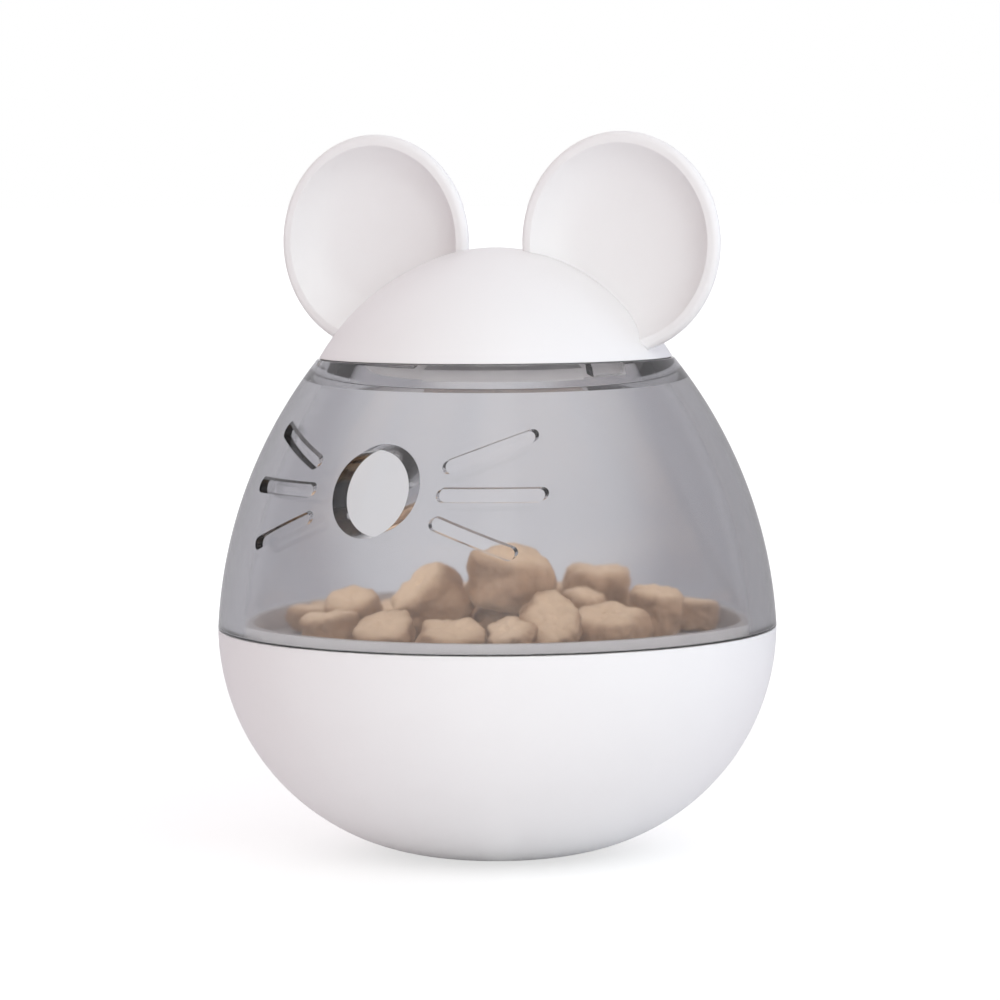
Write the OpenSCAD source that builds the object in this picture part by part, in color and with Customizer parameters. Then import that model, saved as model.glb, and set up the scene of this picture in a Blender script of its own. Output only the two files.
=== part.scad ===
// Wobbling treat dispenser for cats, in the shape of a mouse.
// A weighted round base carries a tinted shell that holds the treats, and a
// twist-lock lid with two dished ears closes the neck at the top.
// Millimetres, +Z up, origin at the centre of the flat foot, nose towards -Y.

/* [Base] */
// Height of the base, which is also the radius of its rounded side
base_h = 38; // [36:0.5:40]
// Radius of the flat foot under the base
foot_r = 8.5; // [7.5:0.5:10.5]
// Wall of the base
base_wall = 3; // [2.6:0.1:3.4]
// Depth of the tray's ledge below the top edge of the base
ledge_drop = 4; // [3.5:0.1:4.5]
// Width of the tray's ledge
ledge_w = 2.6; // [2:0.1:3.4]
// Thickness of the tray's ledge
ledge_t = 2.4; // [2:0.1:3]

/* [Counterweight] */
// Radius of the steel disc
weight_r = 24; // [20:0.5:26]
// Thickness of the steel disc
weight_t = 9; // [7:0.5:11]
// Chamfer on the edges of the steel disc
weight_chamfer = 0.8; // [0.4:0.1:1.2]
// Height of the disc above the curve of the base, at the disc's edge
weight_lift = 1; // [0.6:0.1:1.6]

/* [Screws] */
// Number of screws that hold the disc
screw_count = 3; // [2:1:4]
// Distance of the screws from the axis
screw_place_r = 15; // [13:0.5:16]
// Radius of a screw's shank
screw_r = 1.5; // [1.2:0.1:1.7]
// Radius of a screw's head
screw_head_r = 2.8; // [2.4:0.1:3.2]
// Height of a screw's head
screw_head_t = 2; // [1.6:0.1:2.4]
// Depth of a screw in its boss
screw_bite = 4; // [3:0.1:4.4]
// Radius of a screw boss
boss_r = 3.2; // [2.8:0.1:3.6]

/* [Floor tray] */
// Thickness of the tray's floor
tray_t = 2; // [1.6:0.1:2.4]
// Height of the tray's lip above its floor
tray_lip_h = 3.4; // [2.8:0.1:4]
// Thickness of the tray's lip
tray_lip_t = 1.4; // [1:0.1:1.8]

/* [Shell] */
// Height of the shell above the base
shell_h = 44.5; // [43:0.5:46]
// Wall of the shell, measured level
shell_wall = 4.3; // [4:0.1:4.6]
// Radius of the shell's curve
shell_curve_r = 78; // [75:0.5:82]
// Depth of the centre of that curve below the top edge of the base
shell_curve_drop = 4.1; // [3:0.1:5]

/* [Nose and whiskers] */
// Radius of the nose hole, where treats fall out
nose_r = 7; // [6:0.25:8]
// Height of the nose hole above the base
nose_h = 24.7; // [23:0.1:26]
// Width of a whisker groove
whisker_w = 2.1; // [1.6:0.1:2.4]
// Depth of a whisker groove, measured level
whisker_depth = 1.8; // [1.2:0.1:2.2]
// Distance of the whiskers from the middle of the nose
whisker_start = 11.1; // [10.4:0.1:12]
// Rise from one whisker's start to the next
whisker_pitch = 4; // [3.4:0.1:4.4]
// Fan angle between whiskers
whisker_fan = 22.5; // [18:0.5:26]
// Lengths of the upper, middle and lower whisker
whisker_lengths = [13.7, 15.8, 14]; // [8:0.1:17]

/* [Neck and twist lock] */
// Thickness of the collar round the bore of the neck
collar_w = 3.2; // [2.9:0.1:3.5]
// Height of the collar
collar_h = 4; // [3.8:0.1:4.6]
// Thickness of the catches that hold the lid down
catch_t = 1.4; // [1:0.1:1.6]
// Depth of the catches below the top edge of the neck
catch_sink = 0.3; // [0.2:0.1:0.5]
// Distance that a catch stands into the bore
catch_in = 1.4; // [1:0.1:1.8]
// Number of lugs and catches
lug_count = 3; // [2:1:3]
// Width of a lug, in degrees
lug_width = 56; // [50:1:57]
// Free play of a lug in its gap, in degrees on each side
lug_play = 3; // [2:0.5:4]
// Turn that locks the lid, in degrees
lock_turn = 45; // [36:1:45]
// Play between a locked lug and its stop, in degrees
stop_play = 1.5; // [1:0.5:3]
// Angle from the nose to the first lug, in degrees
lug_from_nose = 32; // [0:1:60]

/* [Lid] */
// Thickness of the gasket under the lid
gasket_t = 0.5; // [0.4:0.1:0.8]
// Step from the shell's edge in to the lid's edge
lid_step = 0.5; // [0.3:0.05:1]
// Height of the dome
lid_h = 17.8; // [17:0.1:19]
// Wall of the dome
dome_wall = 2.2; // [1.8:0.1:2.4]
// Radius of the dome's crown
crown_r = 28; // [25:0.5:31]
// Angle over which the crown runs before the flank takes over
crown_angle = 20; // [16:1:24]
// Wall of the plug's skirt
plug_wall = 2; // [1.6:0.1:2.4]
// Thickness of the plug's closing plate
plate_t = 1.6; // [1.2:0.1:2]
// Distance from the lid's edge in to the edge of the plate
plate_inset = 2.5; // [2.3:0.1:2.8]
// Height of a lug
lug_t = 2.1; // [1.6:0.1:2.6]
// Length of the skirt below its lugs
skirt_lead = 0.4; // [0.3:0.1:1]

/* [Ears] */
// Radius of an ear
ear_r = 18.1; // [17:0.1:18.8]
// Distance of an ear's centre from the middle plane
ear_x = 23.3; // [22.5:0.1:25]
// Height of an ear's centre above the lid's edge
ear_rise = 18.6; // [18:0.1:20]
// Distance of the ear's front edge ahead of the axis
ear_front = 0.8; // [0:0.1:3]
// Depth of the hollow in an ear
ear_depth = 5; // [4:0.2:6]
// Wall of an ear
ear_wall = 2.2; // [1.8:0.1:2.6]
// Radius of the rounded rim of an ear
ear_rim_r = 1; // [0.8:0.1:1.2]
// Width of the tab that holds an ear in the dome
tab_w = 6; // [4:0.5:8]
// Thickness of the tab
tab_t = 1.2; // [0.8:0.1:1.4]
// Length of the tab inside the dome
tab_in = 2.5; // [1.5:0.1:3.5]

/* [Treats] */
// Width of a treat
treat_w = 11.4; // [9:0.2:13]
// Height of a treat
treat_h = 7.6; // [6:0.2:9]
// Distance between the flat sides of a treat
treat_side = 9.8; // [8:0.2:11]
// Radius of the ball that rounds the edges of a treat
treat_ball_r = 6.6; // [6:0.1:7.4]
// Gap between neighbouring treats
treat_gap = 0.6; // [0.4:0.1:0.9]
// Heading of the pile of treats, in degrees
pile_turn = 28; // [0:1:60]

/* [Fits] */
// Gap between fixed pieces that fit into each other
fit_gap = 0.2; // [0.1:0.05:0.3]
// Gap between pieces that move past each other
run_gap = 0.3; // [0.3:0.05:0.4]

/* [Hidden] */
$fn = 128;

// Room that a cut takes past the faces it opens
past = 1;
// Two curves that meet cross by this hair, and each runs on past the crossing by this reach
curve_lap = 0.02;
curve_reach = 4;
girth_r = foot_r + base_h;

// Height of the bowl's curve, offset inwards by a wall, at a distance from the axis
function bowl_z(r, wall) = base_h - sqrt(pow(base_h - wall, 2) - pow(r - foot_r, 2));
// Radius of the arc that leaves a point square to a direction and ends at another point
function tangent_r(from, normal, to) = -(to - from) * (to - from) / (2 * ((to - from) * normal));

// Base
base_bore_r = girth_r - base_wall;
ledge_z = base_h - ledge_drop;
boss_root_z = bowl_z(screw_place_r, base_wall / 2);

// Counterweight and its screws
weight_z = bowl_z(weight_r, base_wall) + weight_lift;
pilot_r = screw_r + fit_gap / 4;
pilot_z = weight_z - screw_bite - fit_gap;
recess_w = screw_head_r / 3;
recess_l = screw_head_r * 1.2;

// Floor tray
floor_z = ledge_z + tray_t;
tray_lip_r = girth_r - shell_wall - fit_gap;
floor_r = tray_lip_r - tray_lip_t;

// Half width of the shell's curve at a height above the curve's centre
function curve_w(height) = sqrt(pow(shell_curve_r, 2) - pow(height, 2));

// Shell: the centre of its curve is [distance from the axis, height]
neck_z = base_h + shell_h;
curve_centre = [girth_r - curve_w(shell_curve_drop), base_h - shell_curve_drop];
neck_r = curve_centre.x + curve_w(neck_z - curve_centre.y);
neck_bore_r = neck_r - collar_w;
collar_z = neck_z - collar_h;
nose_z = base_h + nose_h;

// Twist lock
catch_r = neck_bore_r - catch_in;
catch_root_r = neck_bore_r + catch_in / 2;
catch_z = neck_z - catch_sink - catch_t;
lug_pitch = 360 / lug_count;
first_lug = lug_from_nose - 90;
catch_width = lug_pitch - lug_width - 2 * lug_play;
first_catch = first_lug - lug_width / 2 - lug_play - catch_width;
stop_width = catch_width - lock_turn + lug_play - stop_play;

// Lid
lid_z = neck_z + gasket_t;
lid_r = neck_r - lid_step;
plate_r = lid_r - plate_inset;
skirt_r = catch_r - run_gap;
lug_r = neck_bore_r - run_gap;
lug_top_z = catch_z - run_gap;
lug_z = lug_top_z - lug_t;
skirt_z = lug_z - skirt_lead;
crown_normal = [sin(crown_angle), cos(crown_angle)];
crown_centre = [0, lid_z + lid_h - crown_r];
crown_edge = crown_centre + crown_r * crown_normal;
flank_r = tangent_r(crown_edge, crown_normal, [lid_r, lid_z]);
flank_centre = crown_edge - (flank_r + curve_lap) * crown_normal;

// Ears: back and front are parts of spheres that meet inside the rim
ear_rim_lap = 0.2;
ear_back_edge = ear_r - ear_rim_r / 2;
ear_front_edge = ear_r - 2 * ear_rim_r + ear_rim_lap;
ear_back_rise = ear_depth + ear_wall - ear_rim_r;
ear_front_rise = ear_depth - ear_rim_r;
function cap_r(edge, rise) = (edge * edge + rise * rise) / (2 * rise);
ear_back_r = cap_r(ear_back_edge, ear_back_rise);
ear_front_r = cap_r(ear_front_edge, ear_front_rise);
// Line from the centre of the dome's flank to the middle of an ear
ear_arm = [ear_x, lid_z + ear_rise] - flank_centre;
ear_tilt = atan2(ear_arm.y, ear_arm.x);
ear_gap = norm(ear_arm) - flank_r;
// Depths of the ear's front and back where the tab leaves it
tab_front = ear_depth - ear_front_r + sqrt(pow(ear_front_r, 2) - pow(ear_gap, 2));
tab_back = ear_depth + ear_wall - ear_back_r + sqrt(pow(ear_back_r, 2) - pow(ear_gap, 2));
tab_y = (tab_front + tab_back) / 2 - ear_front;

// Treats: spots on a grid of equal triangles, with those left empty and those stacked
treat_pitch = treat_w + treat_gap;
treat_steps = 40;
// Turn of a treat for each step along the grid and for each level, in degrees
treat_turns = [37, 53, 29];
grid_count = ceil(floor_r / treat_pitch);
function listed(spot, spots) = len([for (s = spots) if (s == spot) s]) > 0;
bare_spots = [[-3, 2], [1, 2], [-2, 3], [-1, 3], [1, -2]];
stacked_spots = [[0, 0]];

// Part of a disc beside the axis, between two heights
module disc_band(centre, r, low, high) {
    intersection() {
        translate(centre) circle(r);
        translate([0, low]) square([2 * girth_r, high - low]);
    }
}

// Outline of the bowl, offset inwards by a wall, from its flat floor up to a height
module bowl_outline(wall, top) {
    intersection() {
        translate([foot_r, base_h]) circle(base_h - wall);
        translate([foot_r, 0]) square([girth_r, top]);
    }
    translate([0, wall]) square([foot_r, top - wall]);
}

// Copies of a piece at the screws
module at_screws() {
    for (i = [0 : screw_count - 1]) {
        rotate(360 * i / screw_count - 90) translate([screw_place_r, 0, 0]) children();
    }
}

module base_bowl() {
    color("whitesmoke") difference() {
        union() {
            rotate_extrude() difference() {
                bowl_outline(0, base_h);
                difference() {
                    bowl_outline(base_wall, ledge_z);
                    translate([base_bore_r - ledge_w, ledge_z - ledge_t]) square([girth_r, ledge_t + past]);
                }
                translate([0, ledge_z]) square([base_bore_r, ledge_drop + past]);
            }
            at_screws() translate([0, 0, boss_root_z]) cylinder(h = weight_z - boss_root_z, r = boss_r);
        }
        at_screws() translate([0, 0, pilot_z]) cylinder(h = weight_z - pilot_z + past, r = pilot_r);
    }
}

module counterweight() {
    color("dimgray") difference() {
        translate([0, 0, weight_z]) rotate_extrude() polygon([
            [0, 0],
            [weight_r - weight_chamfer, 0],
            [weight_r, weight_chamfer],
            [weight_r, weight_t - weight_chamfer],
            [weight_r - weight_chamfer, weight_t],
            [0, weight_t]
        ]);
        at_screws() translate([0, 0, weight_z - past])
            cylinder(h = weight_t + 2 * past, r = screw_r + fit_gap);
    }
}

module weight_screws() {
    head_z = weight_z + weight_t;
    color("silver") at_screws() difference() {
        union() {
            translate([0, 0, head_z]) cylinder(h = screw_head_t, r = screw_head_r);
            translate([0, 0, weight_z - screw_bite])
                cylinder(h = screw_bite + weight_t + screw_head_t / 4, r = screw_r);
        }
        for (turn = [0, 90]) {
            rotate(turn) translate([-recess_l / 2, -recess_w / 2, head_z + screw_head_t / 2])
                cube([recess_l, recess_w, screw_head_t]);
        }
    }
}

module floor_tray() {
    color("white") rotate_extrude() {
        translate([0, ledge_z]) square([base_bore_r - fit_gap, tray_t]);
        translate([floor_r, floor_z]) square([tray_lip_t, tray_lip_h]);
    }
}

// Outline of the shell's curve beside the axis, moved inwards by an inset, up to a height
module shell_outline(inset, top) {
    disc_band(curve_centre - [inset, 0], shell_curve_r, base_h, top);
}

// Groove outline with round ends that runs along +X from the origin
module groove_outline(length, width) {
    translate([width / 2, 0]) circle(d = width);
    translate([length - width / 2, 0]) circle(d = width);
    translate([width / 2, -width / 2]) square([length - width, width]);
}

// Whiskers on both sides of the nose, as seen from the front
module whisker_outlines() {
    for (side = [0, 1], i = [0 : 2]) {
        mirror([side, 0]) translate([whisker_start, (1 - i) * whisker_pitch])
            rotate((1 - i) * whisker_fan) groove_outline(whisker_lengths[i], whisker_w);
    }
}

// An outline seen from the front, run from the axis out past the shell at the height of the nose
module from_front() {
    translate([0, 0, nose_z]) rotate([90, 0, 0]) linear_extrude(height = girth_r + past) children();
}

module body_shell() {
    color("lightslategray", 0.5) difference() {
        union() {
            rotate_extrude() difference() {
                union() {
                    shell_outline(0, neck_z);
                    translate([0, floor_z]) square([base_bore_r - fit_gap, base_h - floor_z]);
                }
                shell_outline(shell_wall, collar_z);
                translate([0, floor_z - past]) square([girth_r - shell_wall, base_h - floor_z + past]);
                translate([0, collar_z]) square([neck_bore_r, collar_h + past]);
            }
            for (i = [0 : lug_count - 1]) {
                rotate(first_catch + lug_pitch * i) {
                    rotate_extrude(angle = catch_width)
                        translate([catch_r, catch_z]) square([catch_root_r - catch_r, catch_t]);
                    rotate_extrude(angle = stop_width)
                        translate([catch_r, collar_z + catch_sink])
                            square([catch_root_r - catch_r, catch_z - collar_z]);
                }
            }
        }
        from_front() circle(nose_r);
        difference() {
            from_front() whisker_outlines();
            rotate_extrude() shell_outline(whisker_depth, neck_z);
        }
    }
}

// A treat: a block with rounded corners and edges, standing on the origin
module treat() {
    translate([0, 0, treat_h / 2]) intersection() {
        cube([treat_side, treat_side, treat_h], center = true);
        cylinder(h = treat_h + past, r = treat_w / 2, center = true, $fn = treat_steps);
        sphere(treat_ball_r, $fn = treat_steps);
    }
}

module treats() {
    color("tan") rotate(pile_turn) {
        for (i = [-grid_count : grid_count], j = [-grid_count : grid_count]) {
            spot = treat_pitch * [i + j / 2, j * sqrt(3) / 2];
            if (norm(spot) + treat_w / 2 + treat_gap < floor_r && !listed([i, j], bare_spots)) {
                for (level = [0 : listed([i, j], stacked_spots) ? 1 : 0]) {
                    translate([spot.x, spot.y, floor_z + level * (treat_h + fit_gap)])
                        rotate(treat_turns * [i, j, level]) treat();
                }
            }
        }
    }
}

module lid_gasket() {
    color("gray") translate([0, 0, neck_z]) difference() {
        cylinder(h = gasket_t, r = lid_r - fit_gap);
        translate([0, 0, -past]) cylinder(h = gasket_t + 2 * past, r = skirt_r + run_gap);
    }
}

module lid_plug() {
    color("white") {
        rotate_extrude() {
            translate([0, lid_z]) square([plate_r, plate_t]);
            translate([skirt_r - plug_wall, skirt_z]) square([plug_wall, lid_z - skirt_z]);
        }
        for (i = [0 : lug_count - 1]) {
            rotate(first_lug + lug_pitch * i - lug_width / 2) rotate_extrude(angle = lug_width)
                translate([skirt_r - plug_wall / 2, lug_z]) square([lug_r - skirt_r + plug_wall / 2, lug_t]);
        }
    }
}

// Outline of the dome beside the axis, offset inwards by a wall
module dome_outline(wall) {
    split = crown_centre.y + (crown_r - wall) * crown_normal.y;
    disc_band(crown_centre, crown_r - wall, split - curve_reach, lid_z + lid_h);
    disc_band(flank_centre, flank_r - wall, lid_z, split);
}

// Tab of the right ear, grown by a gap on each side
module ear_tab(gap) {
    translate([flank_centre.x, tab_y, flank_centre.y]) rotate([0, -ear_tilt, 0])
        translate([flank_r - dome_wall - tab_in, -tab_t / 2 - gap, -tab_w / 2 - gap])
            cube([dome_wall + tab_in + ear_wall / 2, tab_t + 2 * gap, tab_w + 2 * gap]);
}

module lid_dome() {
    color("whitesmoke") difference() {
        rotate_extrude() difference() {
            dome_outline(0);
            dome_outline(dome_wall);
            translate([0, lid_z - past]) square([plate_r + fit_gap, plate_t + past]);
        }
        for (side = [0, 1]) {
            mirror([side, 0, 0]) ear_tab(fit_gap);
        }
    }
}

// Dish of an ear beside its own axis, which points forwards
module ear_outline() {
    translate([ear_r - ear_rim_r, -ear_rim_r]) circle(ear_rim_r);
    difference() {
        disc_band([0, ear_back_r - ear_depth - ear_wall], ear_back_r, -ear_depth - ear_wall, -ear_rim_r);
        disc_band([0, ear_front_r - ear_depth], ear_front_r, -ear_depth, -ear_rim_r);
    }
}

module right_ear() {
    color("whitesmoke") {
        difference() {
            translate([ear_x, -ear_front, lid_z + ear_rise]) rotate([90, 0, 0])
                rotate_extrude() ear_outline();
            rotate_extrude() dome_outline(-fit_gap / 2);
        }
        ear_tab(0);
    }
}

module left_ear() {
    mirror([1, 0, 0]) right_ear();
}

base_bowl();
counterweight();
weight_screws();
floor_tray();
body_shell();
treats();
lid_gasket();
lid_plug();
lid_dome();
left_ear();
right_ear();
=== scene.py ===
import math
import random

import bmesh
import bpy
from mathutils import Euler, Matrix, Vector, noise


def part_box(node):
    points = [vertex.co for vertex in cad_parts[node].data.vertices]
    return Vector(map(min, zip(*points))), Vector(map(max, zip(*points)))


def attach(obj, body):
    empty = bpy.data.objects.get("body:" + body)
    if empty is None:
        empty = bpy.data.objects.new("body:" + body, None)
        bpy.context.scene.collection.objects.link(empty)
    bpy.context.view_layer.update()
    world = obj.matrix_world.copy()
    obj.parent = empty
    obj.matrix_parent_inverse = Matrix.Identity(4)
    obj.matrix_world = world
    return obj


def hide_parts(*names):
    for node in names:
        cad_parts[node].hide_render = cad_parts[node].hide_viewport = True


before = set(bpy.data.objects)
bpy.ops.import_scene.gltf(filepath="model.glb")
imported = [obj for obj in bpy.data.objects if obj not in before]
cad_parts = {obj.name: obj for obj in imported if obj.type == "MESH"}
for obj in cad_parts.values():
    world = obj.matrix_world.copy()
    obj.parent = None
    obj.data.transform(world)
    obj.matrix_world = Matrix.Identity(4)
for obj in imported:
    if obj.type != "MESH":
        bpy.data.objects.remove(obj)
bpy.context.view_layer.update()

# Base
# A white bowl with a small flat foot, moulded in one piece with a fine satin skin.
# Its top edge carries the floor tray and the shell, and three bosses inside hold the steel disc.
mm = 0.001
base_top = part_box("base_bowl")[1]
base_h = base_top.z
girth_r = base_top.x
foot_r = girth_r - base_h
base_wall = 3 * mm
ledge_drop = 4 * mm
ledge_w = 2.6 * mm
ledge_t = 2.4 * mm
seam_round = 0.35 * mm
weld = 0.0005 * mm
screw_count = 3
screw_place_r = 15 * mm
boss_r = 3.2 * mm
pilot_r = 1.55 * mm
screw_bite = 4.2 * mm
white_light = (0.865, 0.857, 0.862, 1)
white_dull = (0.835, 0.827, 0.832, 1)


class Paint:
    """A socket of a finish: sums and products of paints and numbers add Math nodes."""

    def __init__(self, tree, socket=None):
        self.tree = tree
        self.socket = socket

    def node(self, kind, settings=None, inputs=None, output=0):
        made = self.tree.nodes.new(kind)
        for name, value in (settings or {}).items():
            setattr(made, name, value)
        for name, value in (inputs or {}).items():
            if isinstance(value, Paint):
                self.tree.links.new(value.socket, made.inputs[name])
            else:
                made.inputs[name].default_value = value
        return Paint(self.tree, made.outputs[output])

    def maths(self, operation, first, second):
        return self.node("ShaderNodeMath", {"operation": operation}, {0: first, 1: second})

    def __add__(self, other):
        return self.maths("ADD", self, other)

    def __sub__(self, other):
        return self.maths("SUBTRACT", self, other)

    def __rsub__(self, other):
        return self.maths("SUBTRACT", other, self)

    def __mul__(self, other):
        return self.maths("MULTIPLY", self, other)

    __radd__ = __add__
    __rmul__ = __mul__

    def noise(self, size, detail=2):
        return self.node("ShaderNodeTexNoise", {}, {"Vector": self, "Scale": 1 / size, "Detail": detail})

    def mix(self, first, second):
        return self.node("ShaderNodeMix", {"data_type": "RGBA"}, {0: self, 6: first, 7: second}, output=2)

    def bump(self, height, strength=1):
        return self.node("ShaderNodeBump", {}, {"Height": self, "Distance": height, "Strength": strength})


def start_finish(name):
    material = bpy.data.materials.new(name)
    material.use_nodes = True
    place = Paint(material.node_tree).node("ShaderNodeTexCoord", output="Object")
    return material, place


def coat(material, inputs):
    shader = material.node_tree.nodes["Principled BSDF"]
    for name, value in inputs.items():
        if isinstance(value, Paint):
            material.node_tree.links.new(value.socket, shader.inputs[name])
        else:
            shader.inputs[name].default_value = value


def moulded_white(name, roughness):
    material, place = start_finish(name)
    clouds = place.noise(14 * mm)
    grain = place.noise(0.6 * mm, 1)
    coat(material, {
        "Base Color": clouds.mix(white_light, white_dull),
        "Roughness": roughness + 0.10 * clouds + 0.06 * grain,
        "Normal": grain.bump(0.012 * mm, 0.5),
        "IOR": 1.49,
    })
    return material


def arc(centre, radius, start, end, steps):
    turns = [math.radians(start + (end - start) * step / steps) for step in range(steps + 1)]
    return [(centre[0] + radius * math.cos(turn), centre[1] + radius * math.sin(turn)) for turn in turns]


def lathe(outline, rounds=(), steps=288):
    shape = bmesh.new()
    corners = [shape.verts.new((r, 0, z)) for r, z in outline]
    for first, second in zip(corners, corners[1:]):
        shape.edges.new((first, second))
    if outline[0][0] > 0:
        shape.edges.new((corners[-1], corners[0]))
    for index, radius in rounds:
        bmesh.ops.bevel(shape, geom=[corners[index]], offset=radius, offset_type="OFFSET",
                        segments=6, profile=0.5, affect="VERTICES", material=-1)
    bmesh.ops.spin(shape, geom=shape.verts[:] + shape.edges[:], cent=(0, 0, 0), axis=(0, 0, 1),
                   angle=math.tau, steps=steps, use_merge=True)
    bmesh.ops.remove_doubles(shape, verts=shape.verts[:], dist=weld)
    bmesh.ops.recalc_face_normals(shape, faces=shape.faces[:])
    return shape


def make_piece(name, shape, finish=None, crease=35):
    mesh = bpy.data.meshes.new(name)
    shape.to_mesh(mesh)
    shape.free()
    mesh.shade_smooth()
    mesh.set_sharp_from_angle(angle=math.radians(crease))
    if finish:
        mesh.materials.append(finish)
    solid = bpy.data.objects.new(name, mesh)
    bpy.context.scene.collection.objects.link(solid)
    return solid


def work(solid, operation, shape, crease=35):
    """Joins a shape to a piece (UNION) or cuts it out of the piece (DIFFERENCE)."""
    tool = make_piece("tool", shape)
    step = solid.modifiers.new("work", "BOOLEAN")
    step.operation = operation
    step.object = tool
    worked = bpy.data.meshes.new_from_object(solid.evaluated_get(bpy.context.evaluated_depsgraph_get()))
    solid.modifiers.remove(step)
    rough = solid.data
    solid.data = worked
    bpy.data.meshes.remove(rough)
    bpy.data.meshes.remove(tool.data)
    worked.name = solid.name
    slivers = bmesh.new()
    slivers.from_mesh(worked)
    bmesh.ops.remove_doubles(slivers, verts=slivers.verts[:], dist=weld)
    slivers.to_mesh(worked)
    slivers.free()
    worked.set_sharp_from_angle(angle=math.radians(crease))


def at_screws(radius, low, high):
    pins = bmesh.new()
    for screw in range(screw_count):
        turn = Matrix.Rotation(math.tau * screw / screw_count - math.pi / 2, 4, "Z")
        middle = Matrix.Translation((screw_place_r, 0, (low + high) / 2))
        bmesh.ops.create_cone(pins, cap_ends=True, segments=48, radius1=radius, radius2=radius,
                              depth=high - low, matrix=turn @ middle)
    return pins


ledge_z = base_h - ledge_drop
bore_r = girth_r - base_wall
inner_r = base_h - base_wall
ledge_low = ledge_drop + ledge_t
ledge_angle = math.degrees(math.asin(ledge_low / inner_r))
outside = [(0, 0)] + arc((foot_r, base_h), base_h, -90, 0, 72)
rim = len(outside) - 1
inside = [(bore_r, base_h), (bore_r, ledge_z), (bore_r - ledge_w, ledge_z),
          (bore_r - ledge_w, base_h - ledge_low)]
inside += arc((foot_r, base_h), inner_r, -ledge_angle, -90, 48) + [(0, base_wall)]
base_finish = moulded_white("base_satin_white", 0.26)
base = make_piece("base", lathe(outside + inside, [(rim, seam_round), (rim + 1, seam_round)]), base_finish)
weight_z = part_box("counterweight")[0].z
work(base, "UNION", at_screws(boss_r, base_wall / 2, weight_z))
work(base, "DIFFERENCE", at_screws(pilot_r, weight_z - screw_bite, weight_z + base_wall))
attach(base, "housing")
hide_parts("base_bowl")


# Counterweight and its screws
# A turned steel disc low in the base, dull plated, held by three zinc-plated screws.
# The plating is a little patchy, with fine scratches from handling.
def paint_node(name, finish):
    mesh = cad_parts[name].data
    mesh.materials.clear()
    mesh.materials.append(finish)


for name, bright, dull in (("counterweight", 0.42, 0.28), ("weight_screws", 0.72, 0.52)):
    finish, place = start_finish(name + "_metal")
    scratches = place.noise(0.6 * mm, 4)
    patches = place.noise(9 * mm, 3)
    coat(finish, {
        "Base Color": patches.mix((bright, bright, bright, 1), (dull, dull, dull, 1)),
        "Metallic": 1.0,
        "Roughness": 0.28 + 0.2 * scratches,
        "Normal": scratches.bump(0.02 * mm, 0.4),
    })
    paint_node(name, finish)

# Floor tray
# A white moulded dish that closes the base and keeps the treats dry; all of it inside the outer face of its
# lip is painted a speckled brownish grey as shade.
# It lies on the ledge of the base, and its lip shows through the shell.
tray_t = 2 * mm
floor_z = ledge_z + tray_t
painted_shade_r = 41.9 * mm
painted_shade_brown = (0.50, 0.455, 0.44, 1)
tray_finish, place = start_finish("tray_white")
level = place.node("ShaderNodeVectorMath", {"operation": "MULTIPLY"}, {0: place, 1: (1, 1, 0)})
from_axis = place.node("ShaderNodeVectorMath", {"operation": "LENGTH"}, {0: level}, output="Value")
# Painted shade: all of the tray inside the outer face of its lip turns a speckled brownish grey, and only
# that outer face stays white.
painted_shade_mask = place.maths("LESS_THAN", from_axis, painted_shade_r)
speckle = place.noise(2.5 * mm, 4)
coat(tray_finish, {
    "Base Color": (painted_shade_mask * (0.7 + 0.3 * speckle)).mix(white_light, painted_shade_brown),
    "Roughness": 0.36 + 0.2 * speckle,
    "IOR": 1.49,
})
paint_node("floor_tray", tray_finish)

# Shell
# Smoke-tinted clear plastic, thick enough to bend the view at its edges, polished outside and faintly
# milky. The nose hole goes right through, and the whiskers are grooves in the outside.
smoke = (0.30, 0.30, 0.33, 1)
smoke_per_metre = 51
shell_finish, place = start_finish("smoke_tint")
haze = place.noise(9 * mm)
coat(shell_finish, {
    "Base Color": (0.93, 0.93, 0.95, 1),
    "Transmission Weight": 0.98,
    "Roughness": 0.05 + 0.04 * haze,
    "IOR": 1.5,
})
tint = place.node("ShaderNodeVolumeAbsorption", {}, {"Color": smoke, "Density": smoke_per_metre})
place.tree.links.new(tint.socket, place.tree.nodes["Material Output"].inputs["Volume"])
shell_low, shell_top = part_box("body_shell")
neck_z = shell_top.z
shell_wall = 4.3 * mm
curve_r = 78 * mm
curve_drop = 4.1 * mm
curve_z = base_h - curve_drop
curve_x = girth_r - math.sqrt(curve_r ** 2 - (base_h - curve_z) ** 2)
fit_gap = 0.2 * mm
collar_w = 3.2 * mm
collar_h = 5.2 * mm
collar_round = 0.15 * mm
neck_round = 0.12 * mm


def shell_r(z):
    return curve_x + math.sqrt(curve_r ** 2 - (z - curve_z) ** 2)


def shell_line(inset, low, high, steps):
    start, end = (math.degrees(math.asin((z - curve_z) / curve_r)) for z in (low, high))
    return arc((curve_x - inset, curve_z), curve_r, start, end, steps)


neck_bore_r = shell_r(neck_z) - collar_w
collar_z = neck_z - collar_h
spigot_r = bore_r - fit_gap
shell_outside = shell_line(0, base_h, neck_z, 72)
shell_outline = shell_outside + [(neck_bore_r, neck_z), (neck_bore_r, collar_z)]
shell_outline += shell_line(shell_wall, collar_z, base_h, 64)
shell_outline += [(girth_r - shell_wall, shell_low.z), (spigot_r, shell_low.z), (spigot_r, base_h)]
neck_edge = len(shell_outside) - 1
shell_rounds = [(neck_edge, neck_round), (neck_edge + 1, neck_round), (neck_edge + 2, collar_round)]
shell = make_piece("shell", lathe(shell_outline, shell_rounds, steps=384), shell_finish)

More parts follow.
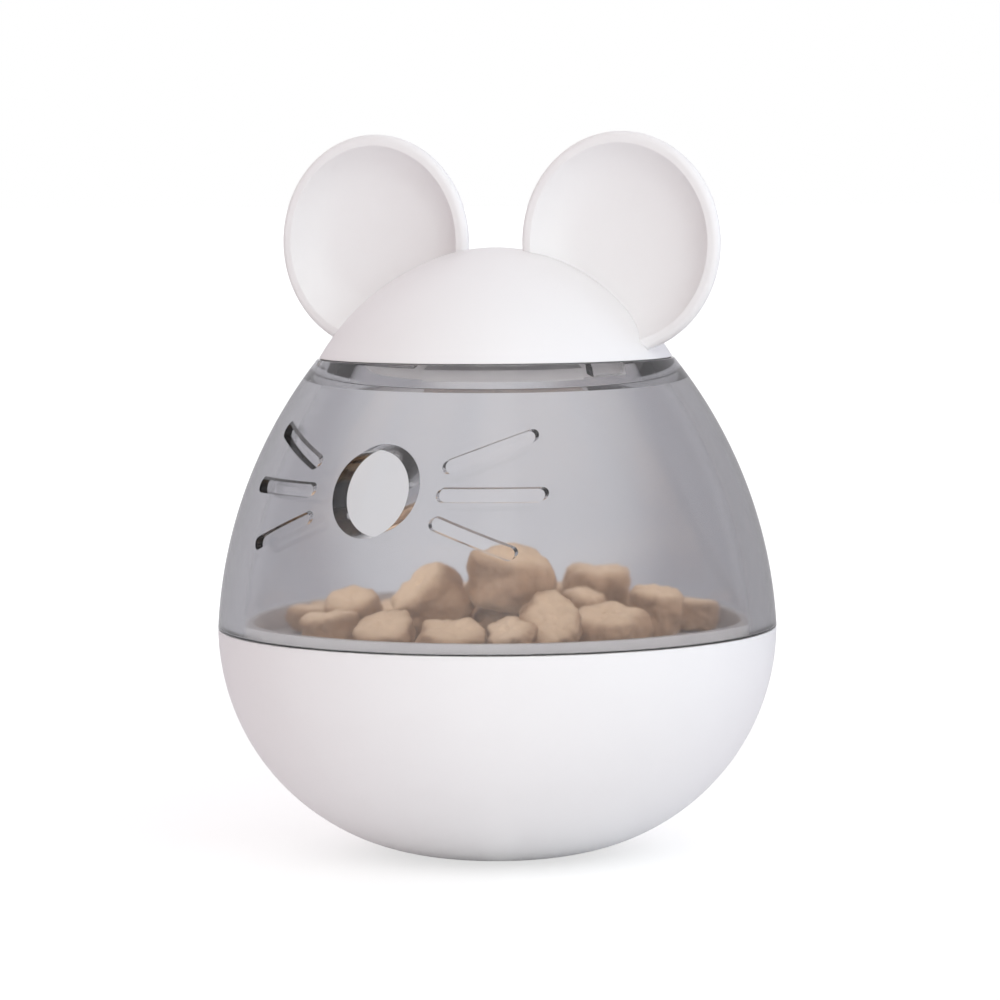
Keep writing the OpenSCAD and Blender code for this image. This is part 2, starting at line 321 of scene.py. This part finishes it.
# Catches and stops of the twist lock, inside the bore
lug_count = 3
lug_width = 56
lug_play = 3
lug_from_nose = 32
stop_from = 0.3
stop_to = 14.5
stop_drop = 3.7 * mm
catch_in = 1.4 * mm
stop_in = 1.35 * mm
catch_t = 1.4 * mm
catch_sink = 0.3 * mm
catch_width = 360 / lug_count - lug_width - 2 * lug_play
catch_z = neck_z - catch_sink - catch_t


def in_bore(inset, low, high, begin, end):
    parts = bmesh.new()
    for catch in range(lug_count):
        heading = 360 * catch / lug_count + lug_from_nose - 90 - lug_width / 2 - lug_play - catch_width
        corners = ((neck_bore_r - inset, low), (neck_bore_r + inset / 2, low),
                   (neck_bore_r + inset / 2, high), (neck_bore_r - inset, high))
        face = parts.faces.new([parts.verts.new((r, 0, z)) for r, z in corners])
        turn = Matrix.Rotation(math.radians(heading + begin), 3, "Z")
        bmesh.ops.rotate(parts, verts=face.verts[:], matrix=turn)
        bmesh.ops.spin(parts, geom=face.verts[:] + face.edges[:] + [face], cent=(0, 0, 0), axis=(0, 0, 1),
                       angle=math.radians(end - begin), steps=48)
    bmesh.ops.recalc_face_normals(parts, faces=parts.faces[:])
    return parts


work(shell, "UNION", in_bore(catch_in, catch_z, catch_z + catch_t, 0, catch_width))
work(shell, "UNION", in_bore(stop_in, neck_z - stop_drop, catch_z + catch_sink, stop_from, stop_to))

# Nose hole and whisker grooves
nose_r = 6.85 * mm
nose_rise = 24.55 * mm
nose_z = base_h + nose_rise
whisker_w = 2.1 * mm
whisker_depth = 1.6 * mm
whisker_start = 10.85 * mm
whisker_pitch = 4 * mm
whisker_fan = 21.3
whisker_lengths = (14.2 * mm, 16.4 * mm, 14.4 * mm)
whisker_draw = 12
cut_l = 24 * mm


def add_pin(shape, radius, place):
    bmesh.ops.create_cone(shape, cap_ends=True, segments=64, radius1=radius, radius2=radius, depth=cut_l,
                          matrix=place @ Matrix.Rotation(math.pi / 2, 4, "X"))


def whiskers():
    cuts = bmesh.new()
    for side in (1, -1):
        for row, length in zip((1, 0, -1), whisker_lengths):
            fan = math.radians(row * whisker_fan)
            x = whisker_start + math.cos(fan) * length / 2
            z = nose_z + row * whisker_pitch + math.sin(fan) * length / 2
            place = Matrix.Translation((side * x, -math.sqrt(shell_r(z) ** 2 - x ** 2), z))
            place @= Matrix.Rotation(math.radians(side * whisker_draw), 4, "Z")
            place @= Matrix.Rotation(-side * fan, 4, "Y")
            groove = bmesh.new()
            for end in (-1, 1):
                slide = Matrix.Translation((end * (length - whisker_w) / 2, 0, 0))
                add_pin(groove, whisker_w / 2, place @ slide)
            corners = [cuts.verts.new(corner.co) for corner in groove.verts]
            groove.free()
            bmesh.ops.convex_hull(cuts, input=corners)
    bmesh.ops.dissolve_limit(cuts, angle_limit=0.001, verts=cuts.verts[:], edges=cuts.edges[:])
    bmesh.ops.recalc_face_normals(cuts, faces=cuts.faces[:])
    return cuts


core = lathe([(0, base_h)] + shell_line(whisker_depth, base_h, neck_z, 72) + [(0, neck_z)], steps=384)
grooves = make_piece("grooves", whiskers())
work(grooves, "DIFFERENCE", core)
cuts = bmesh.new()
cuts.from_mesh(grooves.data)
bpy.data.meshes.remove(grooves.data)
add_pin(cuts, nose_r, Matrix.Translation((0, -shell_r(nose_z), nose_z)))
work(shell, "DIFFERENCE", cuts)
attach(shell, "housing")
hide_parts("body_shell")

# Treats
# Baked biscuits pressed through a lobed die and cut off in short lengths, dry and a little crumbly. Their
# flat faces, which mostly face up,
#  are painted paler as light from above and their rims browner as shade. They lie in a loose pile, mostly
#  towards the front.
pile_turn = 29.3
treat_lobes = 5
lobe_depth = 0.025
lobe_warp = 0.16
edge_sharpness = 5.5
skin_and_shade_brown = (0.36, 0.215, 0.125, 1)
painted_light_pale = (0.77, 0.58, 0.405, 1)
dice = random.Random(7)
# How close together and how deep the swells and the crumbs of the surface are
treat_bumps = ((1.6, 0.14), (3.2, 0.10), (8, 0.035), (20, 0.016))
# Across, deep, lift off the tray, radius and half thickness in mm, then nod, lean and spin in degrees
treats_laid = [
    (2.1, -15, 5.4, 6.9, 4.4, 8, 9, 20), (1.5, -12, 0, 5.2, 2.6, 4, 3, 0),
    (-10.6, -12, 0, 5.8, 4.4, 14, -38, 30), (-24.0, -5, 0, 4.6, 3.1, 20, -8, 10),
    (-31.0, 5, 0, 4.6, 2.2, 0, 3, 50), (-17.6, -28, 0, 4.9, 2.0, 24, -8, 25),
    (-7.2, -33, 0, 4.8, 1.8, 22, 4, 60), (2.2, -33, 0, 3.8, 2.3, 24, -14, 15),
    (8.3, -30, 0, 4.6, 3.0, 66, 16, 40),
    (17.2, 8, 1.7, 5.5, 4.1, 4, 0, 40), (13.9, -9, 0, 3.6, 3.8, 8, 2, 12),
    (17.4, -23, 0, 5.8, 2.6, 13, -3, 5), (26.0, -8, 0, 4.3, 3.7, 10, 6, 30),
    (34.0, 5, 0, 3.6, 2.5, 0, 2, 22), (15.5, 9, 0, 4.2, 1.6, 0, 0, 0),
    (-12.0, 2, 0, 5.2, 2.4, 5, -4, 70), (2.0, 4, 0, 5.4, 3.4, -4, 6, 33),
    (26.0, 8, 0, 4.9, 2.2, 0, 3, 8), (-20.0, 10, 0, 5.0, 1.9, 2, 2, 18),
    (-28.0, 20, 0, 4.9, 1.7, 0, 2, 44), (-15.0, 24, 0, 5.1, 1.7, 1, -2, 12),
    (-4.0, 16, 0, 5.2, 2.9, -5, 2, 27), (-3.0, 32, 0, 4.8, 2.3, 2, 3, 61),
    (7.5, 17, 0, 4.9, 3.0, 3, -4, 52), (20.0, 20, 0, 5.1, 2.3, -2, 2, 3),
    (9.0, 30, 0, 5.0, 2.5, 0, -3, 36), (30.0, 18, 0, 4.6, 1.8, 1, 0, 66),
    (-27.0, -18, 0, 4.4, 2.6, 3, -5, 9),
]


def add_treat(pile, painted_light_side, radius, half, turns, rest):
    ball = bmesh.ops.create_icosphere(pile, subdivisions=5, radius=1)["verts"]
    seed = Vector((dice.uniform(0, 50), dice.uniform(0, 50), dice.uniform(0, 50)))
    for corner in ball:
        way = corner.co.normalized()
        heading = math.atan2(way.y, way.x)
        lobes = 1 + lobe_depth * math.cos(treat_lobes * heading) + lobe_warp * noise.noise(way * 1.1 + seed)
        across = (math.hypot(way.x, way.y) / (radius * lobes)) ** edge_sharpness
        along = (abs(way.z) / half) ** edge_sharpness
        bumps = sum(depth * noise.noise(way * rate + seed) for rate, depth in treat_bumps)
        corner.co = way * (across + along) ** (-1 / edge_sharpness) * (1 + bumps)
        # Painted light: how much each point belongs to a flat face, which later paints it paler as if lit
        # from above.
        corner[painted_light_side] = along / (across + along)
    bmesh.ops.rotate(pile, verts=ball, matrix=turns)
    low = min(corner.co.z for corner in ball)
    bmesh.ops.translate(pile, verts=ball, vec=rest - Vector((0, 0, low)))


pile = bmesh.new()
painted_light_side = pile.verts.layers.float.new("painted_light_side")
pile_frame = Matrix.Rotation(math.radians(pile_turn), 3, "Z")
for across, deep, lift, radius, half, nod, lean, spin in treats_laid:
    tilt = Euler((math.radians(nod), math.radians(lean), 0)).to_matrix()
    turns = pile_frame @ tilt @ Matrix.Rotation(math.radians(spin), 3, "Z")
    rest = pile_frame @ Vector((across, deep, lift)) * mm + Vector((0, 0, floor_z))
    add_treat(pile, painted_light_side, radius * mm, half * mm, turns, rest)
treat_finish, place = start_finish("baked_biscuit")
toast = place.noise(4 * mm, 3)
crumb = place.noise(0.9 * mm, 5)
painted_light_face = place.node("ShaderNodeAttribute", {"attribute_name": "painted_light_side"}, output="Fac")
# Painted light and shade: flat faces paler as if lit from above and rims browner as shade, plus random
# toasting and crumbs.
tone_and_painted_light = 0.75 * painted_light_face + 0.4 * toast + 0.4 * crumb - 0.22
coat(treat_finish, {
    "Base Color": tone_and_painted_light.mix(skin_and_shade_brown, painted_light_pale),
    "Roughness": 0.75 + 0.2 * crumb,
    "Normal": crumb.bump(0.25 * mm, 0.6),
})
treats = make_piece("treat_pile", pile, treat_finish, 180)
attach(treats, "housing")
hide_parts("treats")

# Gasket
# A flat ring of soft grey silicone between the neck and the lid, which takes up the play of the lock.
# It is stretched round the plug, so it lifts off with the lid.
gasket_finish, place = start_finish("gasket_silicone")
coat(gasket_finish, {
    "Base Color": place.noise(3 * mm).mix((0.27, 0.27, 0.28, 1), (0.34, 0.34, 0.35, 1)),
    "Roughness": 0.55 + 0.1 * place.noise(1 * mm),
})
paint_node("lid_gasket", gasket_finish)

# Plug of the lid
# The white skirt that stands in the neck and shows through it, moulded with the plate under the dome.
# Its lugs turn under the catches of the shell.
lid_finish = moulded_white("lid_satin_white", 0.30)
paint_node("lid_plug", lid_finish)

# Dome of the lid
# A white dome glued over the plate of the plug, with a thin lip that hangs over the gasket.
# Two slots in its flanks take the tabs of the ears.
dome_low, dome_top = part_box("lid_dome")
lid_z = dome_low.z
lid_r = dome_top.x
dome_wall = 2.2 * mm
crown_r = 28 * mm
crown_angle = 20
plate_t = 1.6 * mm
plate_inset = 2.5 * mm
plate_r = lid_r - plate_inset
edge_round = 0.12 * mm
lip_drop = 0.35 * mm
lip_gap = 0.08 * mm
lip_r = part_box("lid_gasket")[1].x + lip_gap
crown_z = dome_top.z - crown_r
crown_edge = Vector((math.sin(math.radians(crown_angle)), math.cos(math.radians(crown_angle))))
flank_way = Vector((lid_r, lid_z)) - Vector((0, crown_z)) - crown_r * crown_edge
flank_r = -flank_way.length_squared / (2 * flank_way.dot(crown_edge))
flank_centre = Vector((0, crown_z)) + (crown_r - flank_r) * crown_edge


def dome_line(inset, low):
    start = math.degrees(math.asin((low - flank_centre.y) / (flank_r - inset)))
    line = arc(flank_centre, flank_r - inset, start, 90 - crown_angle, 40)
    return line + arc((0, crown_z), crown_r - inset, 90 - crown_angle, 90, 12)[1:]


dome_outside = dome_line(0, lid_z - lip_drop)
dome_inside = dome_line(dome_wall, lid_z + plate_t)
dome_outline = dome_outside[::-1] + [(lip_r, lid_z - lip_drop), (lip_r, lid_z)]
dome_outline += [(plate_r + fit_gap, lid_z), (plate_r + fit_gap, lid_z + plate_t)] + dome_inside
dome = make_piece("dome", lathe(dome_outline, [(len(dome_outside) - 1, edge_round)]), lid_finish)
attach(dome, "lid")
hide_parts("lid_dome")

# Ears
# Two dished white discs with a round rim, moulded apart from the dome.
# Each plugs into the dome with a flat tab and sits on its flank.
ear_low, ear_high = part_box("right_ear")
ear_r = 18.1 * mm
ear_x = ear_high.x - ear_r
ear_z = ear_high.z - ear_r
ear_y = ear_low.y
ear_depth = 5 * mm
ear_wall = 2.2 * mm
ear_seam = 0.02 * mm
tab_w = 6 * mm
tab_t = 1.2 * mm
tab_in = 2.5 * mm
ear_rim = 1 * mm
lip_round = 0.35 * mm
dish_depth = 4.7 * mm
dish_r = 70 * mm
dish_wall_r = 9.9 * mm
dish_bend = 7.8


def sphere_depth(radius, lowest, r):
    return lowest - radius + math.sqrt(radius ** 2 - r ** 2)


ear_back = ear_depth + ear_wall
rim_r = ear_r - ear_rim
back_rise = ear_back - 2 * ear_rim
back_r = (rim_r ** 2 + back_rise ** 2) / (2 * back_rise) + ear_rim
back_turn = math.degrees(math.asin(rim_r / (back_r - ear_rim))) - 90
bend = math.radians(dish_bend)
wall_way = Vector((math.sin(bend), -math.cos(bend)))
wall_centre = Vector((0, dish_r - dish_depth)) + (dish_r - dish_wall_r) * wall_way
lip_in = math.sqrt((dish_wall_r + lip_round) ** 2 - (wall_centre.y + lip_round) ** 2)
lip_turn = math.degrees(math.atan2(-lip_round - wall_centre.y, lip_in))
ear_outline = arc((0, back_r - ear_back), back_r, -90, back_turn, 32)
ear_outline += arc((rim_r, -ear_rim), ear_rim, back_turn, 90, 20)[1:]
ear_outline += arc((wall_centre.x + lip_in, -lip_round), lip_round, 90, 180 + lip_turn, 8)
ear_outline += arc(wall_centre, dish_wall_r, lip_turn, dish_bend - 90, 24)[1:]
ear_outline += arc((0, dish_r - dish_depth), dish_r, dish_bend - 90, -90, 16)[1:]
ear_arm = Vector((ear_x, ear_z)) - flank_centre
ear_gap = ear_arm.length - flank_r
tab_y = ear_y + (sphere_depth(dish_r, dish_depth, ear_gap) + sphere_depth(back_r, ear_back, ear_gap)) / 2
tab_l = dome_wall + tab_in + ear_wall / 2
tab_place = Matrix.Translation((flank_centre.x, tab_y, flank_centre.y))
tab_place @= Matrix.Rotation(-math.atan2(ear_arm.y, ear_arm.x), 4, "Y")
tab_place @= Matrix.Translation((flank_r - dome_wall - tab_in + tab_l / 2, 0, 0))


def ear_tab(gap, side):
    tab = bmesh.new()
    size = Matrix.Diagonal((tab_l, tab_t + 2 * gap, tab_w + 2 * gap, 1))
    bmesh.ops.create_cube(tab, size=1, matrix=Matrix.Diagonal((side, 1, 1, 1)) @ tab_place @ size)
    bmesh.ops.recalc_face_normals(tab, faces=tab.faces[:])
    return tab


for name, side in (("left_ear", -1), ("right_ear", 1)):
    dish = lathe(ear_outline, steps=192)
    bmesh.ops.rotate(dish, verts=dish.verts[:], matrix=Matrix.Rotation(math.pi / 2, 3, "X"))
    bmesh.ops.translate(dish, verts=dish.verts[:], vec=(side * ear_x, ear_y, ear_z))
    ear = make_piece(name + "_dish", dish, lid_finish)
    work(ear, "DIFFERENCE", lathe([(0, lid_z)] + dome_line(-ear_seam, lid_z)))
    work(ear, "UNION", ear_tab(0, side))
    work(dome, "DIFFERENCE", ear_tab(fit_gap, side))
    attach(ear, "lid")
    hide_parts(name)

# Floor and room
# A plain white sweep that keeps a soft shadow under the toy, in a white tent with five soft lamps.
# Through the shell the room is bright along the camera's view and darker to its sides.
white = (1, 1, 1, 1)
sweep_white = (1.2, 1.2, 1.2, 1)
sweep_paper = (0.96, 0.96, 0.96, 1)
sweep_size = 40
shadow_r = 0.12
sweep_r = 0.35
paper_share = 0.45
room_tone = (0.88, 0.88, 0.89, 1)
room_left = (0.62, 0.611, 0.636, 1)
room_right = (0.46, 0.453, 0.472, 1)
strip_w = 0.19
backdrop_turn = 29.8
tent_left = (0.41, 0.297, 0.296, 1)
tent_right = (0.355, 0.293, 0.298, 1)
tent_inside = (3.0, 2.9, 2.75, 1)
lamp_size = 1.6
lamp_away = 1.5


def ray_kinds(paint):
    """Rays from the camera, rays that see a surface through the shell, and light on its way inside."""
    path = paint.node("ShaderNodeLightPath").socket.node
    camera_ray, glossy_ray, clear_ray, bounces = (
        Paint(paint.tree, path.outputs[kind])
        for kind in ("Is Camera Ray", "Is Glossy Ray", "Is Transmission Ray", "Diffuse Depth"))
    straight = paint.maths("LESS_THAN", bounces, 0.5)
    return camera_ray, (glossy_ray + clear_ray) * straight, clear_ray * (1 - straight)


def aside(heading):
    """How far a heading points to the right of the camera's view (from -1 to 1)."""
    turn = math.radians(backdrop_turn)
    right = (math.cos(turn), math.sin(turn), 0)
    return heading.node("ShaderNodeVectorMath", {"operation": "DOT_PRODUCT"},
                        {0: heading, 1: right}, output="Value")


def backdrop(heading):
    """Tone of the room behind the toy: bright along the camera's view and darker to its sides."""
    off = aside(heading)
    share = heading.node("ShaderNodeMapRange", {"interpolation_type": "SMOOTHSTEP"},
                         {"Value": off * off, "From Max": strip_w ** 2})
    sides = (0.5 + 0.5 * off).mix(room_left, room_right)
    return share.mix(room_tone, sides)


floor_shape = bmesh.new()
bmesh.ops.create_grid(floor_shape, x_segments=1, y_segments=1, size=sweep_size)
floor_finish, place = start_finish("white_sweep")
coat(floor_finish, {"Base Color": sweep_paper, "Roughness": 0.9})
paper = Paint(place.tree, place.tree.nodes["Principled BSDF"].outputs[0])
camera_ray, glass_ray = ray_kinds(place)[:2]
heading = place.node("ShaderNodeVectorMath", {"operation": "NORMALIZE"}, {0: place})
glow = place.node("ShaderNodeEmission", {}, {"Color": camera_ray.mix(backdrop(heading), sweep_white)})
away = place.node("ShaderNodeVectorMath", {"operation": "LENGTH"}, {0: place}, output="Value")
fade = place.node("ShaderNodeMapRange", {"interpolation_type": "SMOOTHSTEP"}, {
    "Value": away, "From Min": shadow_r, "From Max": sweep_r, "To Min": 1 - paper_share, "To Max": 1})
sweep = place.node("ShaderNodeMixShader", {}, {0: fade * (camera_ray + glass_ray), 1: paper, 2: glow})
place.tree.links.new(sweep.socket, place.tree.nodes["Material Output"].inputs["Surface"])
floor = make_piece("floor", floor_shape, floor_finish)

world = bpy.data.worlds.new("tent")
bpy.context.scene.world = world
world.use_nodes = True
room = Paint(world.node_tree)
camera_ray, glass_ray, inward_ray = ray_kinds(room)
heading = room.node("ShaderNodeTexCoord", output="Generated")
tent = (0.5 + 0.5 * aside(heading)).mix(tent_left, tent_right)
tent = glass_ray.mix(inward_ray.mix(tent, tent_inside), backdrop(heading))
tent = camera_ray.mix(tent, white)
room.tree.links.new(tent.socket, room.tree.nodes["Background"].inputs["Color"])


def softbox(name, turn, rise, watts, colour):
    """A large soft lamp that shows neither in the polish of the shell nor through it."""
    lamp = bpy.data.lights.new(name, "AREA")
    lamp.size = lamp_size
    lamp.energy = watts
    lamp.color = colour
    box = bpy.data.objects.new(name, lamp)
    way = Euler((math.radians(-rise), 0, math.radians(turn))).to_matrix() @ Vector((0, -1, 0))
    box.location = Vector((0, 0, base_h)) + lamp_away * way
    box.rotation_euler = way.to_track_quat("Z", "Y").to_euler()
    box.visible_glossy = False
    box.visible_transmission = False
    bpy.context.scene.collection.objects.link(box)


softbox("front", 34, 31, 13.7, (0.93, 1.0, 0.98))
softbox("right", 75, 30, 4.1, (0.70, 0.91, 1.0))
softbox("back_right", 130, 30, 7.8, (0.74, 0.86, 1.0))
softbox("back_left", -130, 30, 9.9, (0.91, 0.91, 1.0))
softbox("top", 0, 85, 2.0, (0.92, 1.0, 1.0))

# Camera
# It stands to the right of the nose, a little above the lid's edge, and looks slightly down.
# Its lens is long and its shift small, so that the toy fills the same part of the picture.
camera_turn = 29.3
camera_away = 650 * mm
camera_z = 108.9 * mm
camera_pitch = 4.41
camera_roll = 0.36
focal_px = 3914
axis_px = 496.6
picture_px = 1000
sensor = 36
camera_data = bpy.data.cameras.new("camera")
camera_data.sensor_width = sensor
camera_data.lens = focal_px * sensor / picture_px
camera_data.shift_x = 0.5 - axis_px / picture_px
camera = bpy.data.objects.new("camera", camera_data)
turn = math.radians(camera_turn)
camera.location = (camera_away * math.sin(turn), -camera_away * math.cos(turn), camera_z)
aim = Euler((math.radians(90 - camera_pitch), 0, turn)).to_matrix()
camera.rotation_euler = (aim @ Matrix.Rotation(math.radians(-camera_roll), 3, "Z")).to_euler()
bpy.context.scene.collection.objects.link(camera)
bpy.context.scene.camera = camera
bpy.context.scene.view_settings.view_transform = "Standard"
